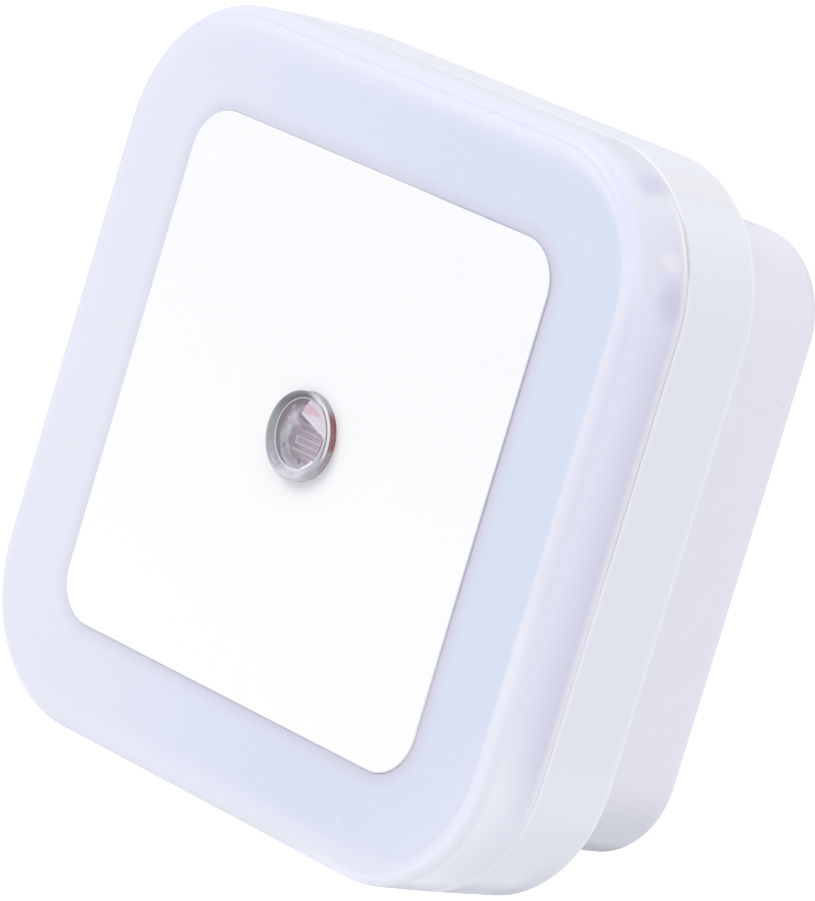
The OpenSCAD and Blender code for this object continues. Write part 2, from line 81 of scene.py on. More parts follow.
# Places and sizes that the solids give. Depths run along Y: the wall is at 0 and the front faces -Y.
FACE_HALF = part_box("diffuser")[1].x
FRONT_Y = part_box("diffuser")[0].y
PEG_END_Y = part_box("diffuser")[1].y
CASING_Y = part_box("rear_casing")[0].y
PLATE_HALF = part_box("front_plate")[1].x
PLATE_FRONT_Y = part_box("front_plate")[0].y
PLATE_BACK_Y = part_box("front_plate")[1].y
BOARD_BACK_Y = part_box("circuit_board")[1].y
LENS_LOW, LENS_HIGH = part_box("sensor_lens")
LENS_FRONT_Y, LENS_BACK_Y = LENS_LOW.y, LENS_HIGH.y
LENS_FLANGE_R = (LENS_HIGH.x - LENS_LOW.x) / 2
SENSOR_X, SENSOR_Z = (LENS_HIGH.x + LENS_LOW.x) / 2, (LENS_HIGH.z + LENS_LOW.z) / 2
BLADE_LOW, BLADE_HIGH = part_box("live_blade")
BLADE_X, BLADE_THICK = (BLADE_LOW.x + BLADE_HIGH.x) / 2, BLADE_HIGH.x - BLADE_LOW.x
BLADE_HALF = 3.175 * MM


def display(red, green, blue):
    """A colour as a screen shows it, 0 to 255, turned into the linear numbers that materials use."""
    return tuple(((c / 255 + 0.055) / 1.055) ** 2.4 for c in (red, green, blue))


# ---------- sizes and colours that a user would change ----------


def size(name, description, default_mm, most_mm):
    """A length in metres, given in millimetres."""
    return FloatProperty(
        name=name, description=description, default=default_mm * MM, min=0, max=most_mm * MM,
        subtype="DISTANCE", unit="LENGTH", precision=5)


def colour(name, place, *screen):
    """A colour, given as a screen shows it."""
    return FloatVectorProperty(
        name=name, description="Colour of " + place, default=display(*screen), size=3, min=0, max=1,
        subtype="COLOR")


def strength(name, description, default, **kind):
    return FloatProperty(name=name, description=description, default=default, min=0, **kind)


class CasingSettings(bpy.types.PropertyGroup):
    corner_radius: size("Corner radius", "Radius of the tray's corners, seen from the front", 12.6, 14)
    wall: size("Wall", "Thickness of the side walls", 1.6, 2)
    draft: size("Draft", "How far the tray narrows on each side towards its step", 0.2, 0.3)
    step_radius: size("Step radius", "Radius of the round along the tray's step", 0.5, 1)
    lip_radius: size("Lip radius", "Radius of the lips at the parting groove", 0.08, 0.3)
    plinth_half: size("Plinth half width", "Half the width of the narrower back part", 26.4, 28)
    plinth_depth: size("Plinth depth", "From the wall to the step", 12.55, 16)
    plinth_corner: size("Plinth corner radius", "Radius of the plinth's corners", 7.7, 9)
    plinth_edge: size("Plinth edge radius", "Radius of the plinth's back edge", 1.8, 3)
    back_wall: size("Back wall", "Thickness of the wall that the blades pass through", 1.8, 2.4)
    tint: colour("Plinth", "the narrower back part", 239, 238, 249)
    # Painted shade: the tray is a shade darker than the plinth, though both are one moulding
    tray_tint: colour("Tray", "the wide tray", 236, 237, 246)
    # Painted shade: the colour of the plinth's shaded lower corners
    underside_shade: colour("Underside", "the plinth's lower corners", 212, 214, 227)


class DiffuserSettings(bpy.types.PropertyGroup):
    groove: size("Parting groove", "Width of the groove between rim and casing", 0.05, 0.3)
    round_width: size("Edge width", "Width of the round edge between ring and rim", 1.2, 2.4)
    round_depth: size("Edge depth", "Depth of that round edge", 1.1, 2)
    skirt: size("Skirt", "Thickness of the skirt that plugs into the casing", 1.1, 1.5)
    skirt_depth: size("Skirt depth", "Length of the skirt behind the groove", 2.6, 3.2)
    web: size("Web", "Thickness of the front", 1.6, 2.2)
    peg_diameter: size("Peg diameter", "Diameter of the corner pegs", 2.4, 2.6)
    milk: colour("Milky white", "the thick parts", 230, 231, 244)
    rim: colour("Rim", "the rim on its straight right side", 233, 235, 252)
    # Painted light: the rim is painted lighter at its lower corners
    glow: colour("Glow", "the rim at its lower corners", 246, 248, 255)
    # Painted shade: a bluish shade for the round edge at the upper right
    bend: colour("Bend", "the round edge at the upper right", 227, 230, 249)
    # Painted shadow on the ring beside the plate
    lilac_shadow: colour("Lilac", "the ring beside the plate", 215, 211, 232)
    haze: colour("Blue haze", "the thin ring over its hollow", 214, 222, 241)
    shade: colour("Rim shade", "the rim at the groove", 219, 218, 237)
    # Painted highlight: the pale band along the rim's back edge
    lip: colour("Lip", "the pale band at the rim's back edge", 244, 241, 253)
    violet: colour("Corner shade", "the rim beside the pegs", 208, 205, 229)
    peg: colour("Peg", "the pegs that show through the rim", 240, 236, 247)


class PlateSettings(bpy.types.PropertyGroup):
    corner_radius: size("Corner radius", "Radius of the plate's corners", 4, 8)
    gap: size("Gap", "Gap between the plate and what it seats in", 0.02, 0.15)
    edge: size("Edge radius", "Radius of the plate's front edge", 0.12, 0.2)
    tint: colour("Plate", "the plate", 249, 250, 251)
    # Painted shade along the plate's edge at the right
    edge_shade: colour("Plate edge", "the plate's edge at the right", 205, 206, 220)


class SensorSettings(bpy.types.PropertyGroup):
    lens_radius: size("Lens radius", "Radius of the lens in the plate", 3.65, 4.5)
    rim_width: size("Rim width", "Width of the raised rim, with its inner slope", 0.5, 0.8)
    dish: size("Dish", "Depth of the dish inside the rim", 0.4, 0.6)
    window: size("Window", "Thickness of the lens's window", 0.6, 0.9)
    track: colour("Track", "the light sensitive track", 233, 212, 218)
    ceramic: colour("Ceramic", "the sensor's disc", 206, 196, 208)
    film: colour("Film", "the metal film", 194, 177, 187)
    glass: colour("Lens", "the lens's rim and wall", 201, 201, 209)
    lining: colour("Bore", "the bore behind the window", 188, 187, 193)
    mirrored: colour("Mirrored", "what the window mirrors", 236, 231, 238)


class PlugSettings(bpy.types.PropertyGroup):
    hole_diameter: size("Hole diameter", "Diameter of the hole near a blade's end", 3.2, 3.6)
    hole_place: size("Hole place", "Distance of that hole from the casing", 11.9, 12.4)
    tip_bevel: size("Tip bevel", "Bevel at the blade's end", 1.4, 2)
    edge: size("Edge radius", "Radius of the blade's edges", 0.15, 0.3)
    metal: colour("Plated metal", "the nickel plated brass", 205, 200, 190)


class StageSettings(bpy.types.PropertyGroup):
    floor_drop: size("Floor drop", "Distance from the lowest point down to the floor", 45, 200)
    room_light: strength(
        "Room light", "Strength of the even light from all sides", 0.70, max=1, subtype="FACTOR")
    key_power: strength("Key light", "Power of the large light", 4.7, unit="POWER")
    side_power: strength("Side light", "Power of the light at the right", 0.9, unit="POWER")
    top_power: strength("Top light", "Power of the light above", 1.7, unit="POWER")


SETTINGS = {
    "casing": CasingSettings,
    "diffuser": DiffuserSettings,
    "plate": PlateSettings,
    "sensor": SensorSettings,
    "plug": PlugSettings,
    "stage": StageSettings,
}


def build(context, *names):
    """The settings of some groups of pieces."""
    return [getattr(context.scene, "night_light_" + name) for name in names]


# ---------- modelling by hand ----------


def clear_selection():
    """Deselects every object, unless a mesh is open and takes what is added next."""
    if bpy.context.mode == "OBJECT":
        bpy.ops.object.select_all(action="DESELECT")


def select_only(*pieces):
    """Selects these pieces alone, and makes the first one active."""
    clear_selection()
    for piece in pieces:
        piece.select_set(True)
    bpy.context.view_layer.objects.active = pieces[0]


@contextmanager
def editing(piece):
    """Opens a piece in edit mode and closes it again."""
    select_only(piece)
    bpy.ops.object.mode_set(mode="EDIT")
    yield
    bpy.ops.object.mode_set(mode="OBJECT")


def new_piece(name):
    """Names the primitive that was just added and puts its place into its mesh."""
    piece = bpy.context.active_object
    piece.name = piece.data.name = name
    bpy.ops.object.transform_apply(location=True, rotation=True, scale=True)
    return piece


def add_box(half_x, half_z, y0, y1, x=0.0):
    """Adds a box from y0 to y1, as a new object or, in edit mode, to the open mesh."""
    clear_selection()
    bpy.ops.mesh.primitive_cube_add(
        size=1, location=(x, (y0 + y1) / 2, 0), scale=(2 * half_x, y1 - y0, 2 * half_z))


def add_rod(radius, y0, y1, x, z, points=CIRCLE_POINTS):
    """Adds a cylinder along Y, with a point at the middle of each side and corner."""
    clear_selection()
    bpy.ops.mesh.primitive_cylinder_add(
        vertices=points, radius=radius, depth=y1 - y0, location=(x, (y0 + y1) / 2, z),
        rotation=Matrix.Rotation(math.radians(90), 4, "X").to_euler())


def pick(test, kind="FACE", among=False):
    """Leaves selected only the faces or edges that pass a test, of all or among those selected."""
    bpy.ops.mesh.select_mode(type=kind)
    mesh = bmesh.from_edit_mesh(bpy.context.edit_object.data)
    parts = mesh.faces if kind == "FACE" else mesh.edges
    chosen = [part for part in parts if (part.select or not among) and test(part)]
    for group in (mesh.verts, mesh.edges, mesh.faces):
        for part in group:
            part.select = False
    for part in chosen:
        part.select_set(True)
    bmesh.update_edit_mesh(bpy.context.edit_object.data)
    if not chosen:
        raise RuntimeError("nothing passed the test")


def flat_at(y, facing):
    """A test for the end of a block at a depth, facing the front (-1) or the wall (1)."""
    def test(face):
        at_depth = abs(face.calc_center_median().y - y) < 1e-6
        return at_depth and face.normal.y * facing > 0.99 and len(face.verts) > 8
    return test


def runs_along_y(edge):
    a, b = (v.co for v in edge.verts)
    return abs(a.x - b.x) < TINY and abs(a.z - b.z) < TINY


def round_corners(radius):
    """Rounds the four edges along Y of the box that is selected."""
    pick(runs_along_y, "EDGE", among=True)
    bpy.ops.mesh.bevel(offset=radius, offset_type="OFFSET", segments=CORNER_STEPS, affect="EDGES")


def rounded_block(name, half_x, half_z, y0, y1, radius):
    """A new piece: a box from y0 to y1 with round corners seen from the front."""
    add_box(half_x, half_z, y0, y1)
    piece = new_piece(name)
    with editing(piece):
        bpy.ops.mesh.select_all(action="SELECT")
        round_corners(radius)
    return piece


def step(inset, rise):
    """Carries the selected face on: inwards by inset, and out along its normal by rise."""
    if inset > 0:
        bpy.ops.mesh.inset(thickness=inset, depth=rise, use_even_offset=True)
        return
    mesh = bmesh.from_edit_mesh(bpy.context.edit_object.data)
    normal = next(face.normal.copy() for face in mesh.faces if face.select)
    bpy.ops.mesh.extrude_region_move(TRANSFORM_OT_translate={"value": normal * rise})


def round_over(width, rise, steps=FILLET_STEPS):
    """Carries the selected face on over a round edge, from upright to flat."""
    for i in range(steps):
        a, b = math.pi / 2 * i / steps, math.pi / 2 * (i + 1) / steps
        step(width * (math.cos(a) - math.cos(b)), rise * (math.sin(b) - math.sin(a)))


def close_up():
    """Points every face of the open mesh outwards."""
    bpy.ops.mesh.select_all(action="SELECT")
    bpy.ops.mesh.normals_make_consistent(inside=False)


def apply_modifier(piece, kind, **settings):
    """Adds a modifier, sets it and applies it."""
    select_only(piece)
    modifier = piece.modifiers.new(kind.lower(), kind)
    for name, value in settings.items():
        setattr(modifier, name, value)
    bpy.ops.object.modifier_apply(modifier=modifier.name)


def combine(piece, tool, operation):
    """Cuts a tool out of a piece or welds it on, and takes the tool away."""
    apply_modifier(piece, "BOOLEAN", object=tool, operation=operation, solver="EXACT")
    bpy.data.objects.remove(tool)


def joined(pieces, name):
    """Joins pieces into the first and names it."""
    select_only(*pieces)
    bpy.ops.object.join()
    pieces[0].name = pieces[0].data.name = name
    return pieces[0]


def copied(piece, move):
    """A copy of a piece with its own mesh, moved by a matrix."""
    twin = piece.copy()
    twin.data = piece.data.copy()
    bpy.context.scene.collection.objects.link(twin)
    twin.data.transform(move)
    return twin


def turned(degrees):
    """A turn round the Y axis."""
    return Matrix.Rotation(math.radians(degrees), 4, "Y")


def hand_over(piece, material, slot, *nodes):
    """Shades and paints a finished piece, rides it on the body and lets it stand for its CAD nodes."""
    select_only(piece)
    bpy.ops.object.shade_smooth_by_angle(angle=SMOOTH_ANGLE)
    apply_modifier(piece, "WEIGHTED_NORMAL", mode="FACE_AREA", weight=100, keep_sharp=True)
    paint_piece(piece, material)
    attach(piece, BODY)
    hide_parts(*nodes)


# ---------- finishes ----------


def maths(operation, swapped=False):
    """A method of a socket that works it out with another socket or a number."""
    def method(self, other):
        pair = (other, self) if swapped else (self, other)
        return self.paint.math(operation, *pair)
    return method


class Socket:
    """A node's output, so that a material can be written as an expression."""

    def __init__(self, paint, output):
        self.paint = paint
        self.output = output

    __add__ = maths("ADD")
    __radd__ = maths("ADD", swapped=True)
    __sub__ = maths("SUBTRACT")
    __rsub__ = maths("SUBTRACT", swapped=True)
    __mul__ = maths("MULTIPLY")
    __rmul__ = maths("MULTIPLY", swapped=True)
    __truediv__ = maths("DIVIDE")
    __pow__ = maths("POWER")
    # The larger of two, which joins two masks
    __or__ = maths("MAXIMUM")

    def __abs__(self):
        return self.paint.math("ABSOLUTE", self)

    def rise(self, low, high):
        """0 below low, 1 above high and smooth between. It falls if low is above high."""
        ends = {"From Min": low, "From Max": high}
        if low > high:
            ends = {"From Min": high, "From Max": low, "To Min": 1.0, "To Max": 0.0}
        return self.paint.node("MapRange", {"Value": self, **ends}, interpolation_type="SMOOTHSTEP")

    def under(self, *layers):
        """This colour under others, each with the share of it that shows, laid on in turn."""
        tone = self
        for tint, cover in layers:
            tone = self.paint.mix(tone, tint, cover)
        return tone


def length(a, b):
    """Length of the hypotenuse over two sides, which are sockets."""
    return (a * a + b * b) ** 0.5


class Paint:
    """One material and the nodes that it is made of. Places are in millimetres."""

    def __init__(self, name):
        self.material = bpy.data.materials.new(name)
        self.material.use_nodes = True
        self.tree = self.material.node_tree
        self.tree.nodes.clear()
        self.place = self.node("TexCoord", out="Object")
        self.x, self.y, self.z = (
            self.node("SeparateXYZ", {"Vector": self.place}, axis) / MM for axis in "XYZ")

    def node(self, kind, sockets=None, out=0, **settings):
        """Adds a node, sets it, feeds its sockets and gives one of its outputs."""
        made = self.tree.nodes.new("ShaderNode" + kind)
        for name, value in settings.items():
            setattr(made, name, value)
        for name, value in (sockets or {}).items():
            self.feed(made.inputs[name], value)
        return Socket(self, made.outputs[out]) if len(made.outputs) else None

    def feed(self, target, value):
        """Links a socket to another node's output, or sets it. Whole numbers are a colour on screen."""
        if isinstance(value, Socket):
            self.tree.links.new(value.output, target)
        elif target.type == "RGBA":
            target.default_value = (*(display(*value) if isinstance(value[0], int) else value), 1)
        else:
            target.default_value = value

    def math(self, operation, a, b=None):
        return self.node("Math", {0: a} if b is None else {0: a, 1: b}, operation=operation)

    def mix(self, first, second, factor):
        """A colour that goes from the first to the second as factor goes from 0 to 1."""
        return self.node("Mix", {0: factor, 6: first, 7: second}, 2, data_type="RGBA")

    def stretched(self, per_mm, stretch, **others):
        """Sockets of a texture with that many features per millimetre, stretched along an axis."""
        place = self.node("Mapping", {"Vector": self.place, "Scale": stretch})
        return {"Vector": place, "Scale": per_mm / MM, **others}

    def noise(self, per_mm, detail=2.0, stretch=(1, 1, 1), rough=0.5):
        """Soft noise."""
        return self.node("TexNoise", self.stretched(per_mm, stretch, Detail=detail, Roughness=rough))

    def cells(self, feature, per_mm, stretch=(1, 1, 1)):
        """Distances in a pattern of random cells."""
        return self.node("TexVoronoi", self.stretched(per_mm, stretch), "Distance", feature=feature)

    def specks(self, per_mm, fill):
        """1 inside small round specks, one to a cell, that fill that share of its width."""
        return self.cells("F1", per_mm).rise(fill, fill / 2)

    def lines(self, per_mm, width, stretch):
        """1 along thin crooked lines, as hairline scratches are."""
        return self.cells("DISTANCE_TO_EDGE", per_mm, stretch).rise(width, 0.0)

    def corner_spot(self, centre, inner, outer):
        """1 near a point and its mirror images in the other three corners, and 0 away from them."""
        folded = self.node("CombineXYZ", {"X": abs(self.x), "Y": self.y, "Z": abs(self.z)})
        away = self.node("VectorMath", {0: folded, 1: centre}, "Value", operation="DISTANCE")
        return away.rise(outer, inner)

    def beyond(self, half, radius):
        """Millimetres outside a square outline with round corners, negative inside it."""
        half, radius = half / MM, radius / MM
        along_x, along_z = (abs(way) - (half - radius) | 0.0 for way in (self.x, self.z))
        return length(along_x, along_z) - radius

    def bump(self, height, depth, strength=1.0):
        """A normal from a height of 0 to 1 that stands for that depth in millimetres."""
        return self.node("Bump", {"Height": height, "Distance": depth * MM, "Strength": strength})

    def surface(self, colour, roughness, **others):
        """A principled shader. The names of its other sockets have _ for spaces."""
        sockets = {name.replace("_", " "): value for name, value in others.items()}
        return self.node("BsdfPrincipled", {"Base Color": colour, "Roughness": roughness, **sockets})

    def blend(self, first, second, factor):
        """A shader that goes from the first to the second as factor goes from 0 to 1."""
        return self.node("MixShader", {0: factor, 1: first, 2: second})

    def finish(self, shader):
        """Ends the material in a shader."""
        self.node("OutputMaterial", {"Surface": shader})
        return self.material


def paint_piece(piece, material):
    """Gives a piece one material all over."""
    piece.data.materials.clear()
    piece.data.materials.append(material)


def darker(tint, factor):
    return tuple(c * factor for c in tint)


def casing_finish(casing):
    """Soft gloss white moulding with faint flow marks, fine grain and a little dust at the step, with painted
    light and shade on its tray and plinth, painted highlights along the groove's lip and the step's edge, and
    a painted glow in the groove's lower half.
    """
    paint = Paint("casing_plastic")
    x, y, z = paint.x, paint.y, paint.z
    from_step = y + casing.plinth_depth / MM
    from_groove = y - CASING_Y / MM
    from_bottom = z + FACE_HALF / MM
    at_right = x.rise(13, 18)
    clouds = paint.noise(0.07, 3.0)
    flow = paint.noise(0.5, 2.0, (0.25, 1, 1))
    # Painted shade: the plinth darker towards its lower corners and along its top, and darkest at its lower
    # right edge
    plinth_foot = (z + casing.plinth_half / MM).rise(2.4, 0.5) * at_right
    plinth = paint.mix(darker(casing.tint, 0.975), casing.tint, clouds * 0.6 + flow * 0.4).under(
        (casing.underside_shade, z.rise(-17, -26)),
        (darker(casing.tint, 0.93), z.rise(21, 25)),
        (darker(casing.underside_shade, 0.3), plinth_foot))

    # Painted light and shade on the tray: greyer at its upper right bend, lighter lower down, darker at its
    # lower right near the step, and darkest along its lower right edge
    bend = z.rise(27, 29) * x.rise(19, 24)
    rear = from_step.rise(-4, -1.5) * z.rise(-24, -29) * at_right
    foot = from_bottom.rise(3.6, 1.0) * at_right
    edge = from_bottom.rise(0.8, 0.2) * foot
    tray = paint.mix(casing.tray_tint, (232, 233, 238), bend).under(
        ((240, 243, 252), z.rise(-15, -22)),
        ((220, 222, 235), rear),
        ((172, 174, 193), foot),
        ((150, 150, 158), edge * 0.6))

    # Painted highlights along the lip at the groove and along the round edge of the step
    on_tray = from_step.rise(0.4, -0.1)
    corner = z.rise(22, 24) * z.rise(28, 26) * at_right
    lip = from_groove.rise(0.45, 0.2) * (1.0 - corner)
    ridge_highlight = from_step.rise(-0.8, -0.45) * on_tray * (1.0 - foot)
    shaded = from_groove.rise(0.3, 0.15) * corner
    tone = plinth.under(
        (tray, on_tray),
        ((248, 249, 255), lip * 0.45 | ridge_highlight * 0.7),
        (darker(casing.tray_tint, 0.84), shaded),
        ((205, 203, 208), paint.specks(0.35, 0.05) * 0.5))
    grain = paint.noise(9.0)
    smears = paint.noise(0.12, 4.0, (1, 1, 0.5))
    # Painted glow: a faint emission in the groove's lower half, so that the groove reads lighter there
    in_groove = from_groove.rise(0.12, 0.04) * z.rise(3, -5)
    painted_emission = paint.mix((0.0, 0.0, 0.0), (0.09, 0.09, 0.1), in_groove)
    return paint.finish(paint.surface(
        tone, 0.3 + smears * 0.14 + grain * 0.03, Normal=paint.bump(grain * 0.5 + flow * 0.5, 0.004, 0.6),
        Emission_Color=painted_emission, Emission_Strength=1.0))


def diffuser_finish(diffuser, casing, plate):
    """Milky moulding: bluer where the front is thin, with painted light and shade on its ring, round edge and
    rim, painted shade at the groove, painted highlights at its back edge, a painted glow along its lower
    edges, and pegs showing through.
    """
    paint = Paint("diffuser_plastic")
    x, y, z = paint.x, paint.y, paint.z
    from_front = y - FRONT_Y / MM
    from_groove = y - CASING_Y / MM
    from_top = FACE_HALF / MM - z
    from_bottom = z + FACE_HALF / MM
    from_left = x + FACE_HALF / MM
    inwards = 0.0 - paint.beyond(FACE_HALF, casing.corner_radius)
    off_plate = paint.beyond(PLATE_HALF, plate.corner_radius)
    on_front = from_front.rise(0.3, 0.05)
    on_rim = from_front.rise(0.4, 1.2)
    on_edge = 1.0 - on_rim
    clouds = paint.noise(0.09, 3.0)
    grain = paint.noise(5.0, rough=0.6)

    # Bluer where the front is thin over its hollow. Painted shade makes that blue stronger towards the right
    # and the top and weaker at the lower right, and lays a lilac shadow on the ring beside the plate
    shade_to_right = (x + (z | z * -0.5) * 0.45).rise(-30, 26)
    lower_right = (x - z).rise(38, 54)
    fade = 2.6 - 2.2 * x.rise(19, 26)
    thin = ((inwards - diffuser.round_width / MM) / fade).rise(0.0, 1.0) * on_front
    haze = thin * shade_to_right * (1.0 - 0.5 * lower_right) * (0.7 + 0.4 * clouds)
    plate_shadow = off_plate.rise(1.6, 0.2) * on_front
    scuffs = paint.lines(0.12, 0.008, (1, 1, 0.6)) * paint.noise(0.1).rise(0.55, 0.65)
    tone = paint.mix(diffuser.milk, diffuser.haze, haze).under(
        (diffuser.lilac_shadow, plate_shadow * (0.3 + 0.45 * shade_to_right)),
        ((240, 244, 252), paint.specks(3.2, 0.2) * on_front * 0.35 * thin),
        ((198, 204, 230), grain.rise(0.55, 0.75) * 0.3 * haze),
        ((238, 241, 251), scuffs * thin * 0.3))

    # The round edge: a painted bluish shade at the upper right, painted highlight bands along it at the top
    # and the lower right, and painted shade over its top and left
    to_side = from_left.rise(6, 14)
    bent_shade = (1.0 - on_front) * on_edge * (x + z).rise(33, 50)
    band = inwards.rise(2.0, 1.75) * from_top.rise(6, 3) * to_side
    low_band = inwards.rise(1.65, 1.35) * z.rise(-2, -9) * x.rise(23, 27)
    at_top = from_top.rise(9, 3) * (0.5 + 0.5 * to_side)
    crease_shade = inwards.rise(1.2, 0.85) * on_edge * (at_top | from_left.rise(5, 2) * 0.4)

    # The rim: bluer along its straight sides, painted lighter at its lower corners, and painted darker
    # towards the groove, most on its straight right side, and along its lower right foot. Painted shade of
    # the corner darkens the top's right end, more so towards the groove.
    upright = z.rise(26, 19) * z.rise(-23, -15)
    foot = from_bottom.rise(2.6, 0.7) * on_rim * x.rise(16, 20)
    to_groove = from_front.rise(1.2, (CASING_Y - FRONT_Y) / MM)
    shade = to_groove * (0.35 + 0.65 * abs(z).rise(23, 15)) * (1.0 - z.rise(24, 30))
    turned_away_shade = z.rise(27.5, 29) * x.rise(17, 20) * from_front.rise(1, 4)
    tone = tone.under(
        (diffuser.rim, on_rim * upright),
        (diffuser.glow, on_rim * z.rise(-11, -23)),
        (diffuser.bend, bent_shade),
        ((240, 242, 254), (band | low_band) * 0.3 * on_front),
        (darker(diffuser.bend, 0.82), crease_shade * 0.6),
        (darker(diffuser.shade, 0.62), foot),
        (diffuser.shade, shade),
        (darker(diffuser.milk, 0.86), turned_away_shade * 0.62))

    # Pegs and the shade beside them: angle round the corner, distance from the groove, radius and hard core
    corner = casing.corner_radius / MM
    bend = FACE_HALF / MM - corner
    showing = 0.1 + 0.9 * z.rise(-5, 5)
    for angle, out_y, radius, hard, patch, strength in (
            (12, 1.4, 2.6, 0.2, diffuser.violet, 0.65), (58, 1.2, 1.6, 0.2, diffuser.violet, 0.6),
            (56, 2.6, 1.6, 0.2, diffuser.violet, 0.5), (46, 1.3, 1.7, 0.3, diffuser.milk, 0.6),
            (26, 2.2, 1.05, 0.5, diffuser.peg, 0.75), (26, 1.6, 1.05, 0.5, diffuser.peg, 0.75)):
        turn = math.radians(angle)
        centre = (bend + corner * math.cos(turn), CASING_Y / MM - out_y, bend + corner * math.sin(turn))
        tone = tone.under((patch, paint.corner_spot(centre, hard * radius, radius) * strength * showing))
    # Painted highlights: a pale band along the rim's back edge, weaker where the top turns away, and a bright
    # line at the groove at the upper right corner
    lit = from_groove.rise(-0.55, -0.35) * z.rise(22, 24) * z.rise(28, 26)
    tone = tone.under(
        (diffuser.lip, from_groove.rise(-1.0, -0.3) * (0.9 - 0.6 * turned_away_shade)),
        ((255, 253, 255), lit))
    smears = paint.noise(0.15, 4.0)
    scratches = paint.lines(0.06, 0.006, (1, 1, 0.35)) * paint.noise(0.12).rise(0.5, 0.6)

    # Painted glow: emission lightens the round edge along the lower edges and the rim at its lower right
    # corner
    downwards = z.rise(0.0, -12) * 0.2 + z.rise(-16, -30) * 0.8
    downwards = downwards * (0.5 + 0.5 * x.rise(8, 18))
    lower_corner = on_rim * z.rise(-16, -22) * (1.0 - foot)
    painted_emission = paint.mix((0.0, 0.0, 0.0), (0.15, 0.15, 0.16), inwards.rise(1.2, 0.6) * on_edge * downwards)
    painted_emission = painted_emission.under(((0.012, 0.016, 0.042), lower_corner))
    normal = paint.bump(grain * 0.6 + scratches * 0.4, 0.005, 0.6)
    return paint.finish(paint.surface(
        tone, 0.3 + smears * 0.12 + grain * 0.05, Normal=normal,
        Subsurface_Weight=0.35, Subsurface_Radius=(1.0, 1.0, 1.3), Subsurface_Scale=1.5 * MM,
        Emission_Color=painted_emission, Emission_Strength=1.0))


def plate_finish(plate):
    """Satin white plate with the faintest unevenness, painted brighter downwards and with painted shade at
    its right edge.
    """
    paint = Paint("plate_plastic")
    clouds = paint.noise(0.12, 3.0)
    edge = paint.beyond(PLATE_HALF, plate.corner_radius).rise(-0.1, 0.0)
    at_right = (paint.x + 0.5 * paint.z).rise(12, 22)
    # Painted light lower down and painted shade along the right edge
    tone = paint.mix(darker(plate.tint, 0.98), plate.tint, clouds).under(
        ((254, 254, 254), paint.z.rise(16, -24)),
        (plate.edge_shade, edge * at_right))
    grain = paint.noise(7.0)
    rough = 0.38 + clouds * 0.08 + grain * 0.04
    return paint.finish(paint.surface(tone, rough, Normal=paint.bump(grain, 0.003, 0.5)))


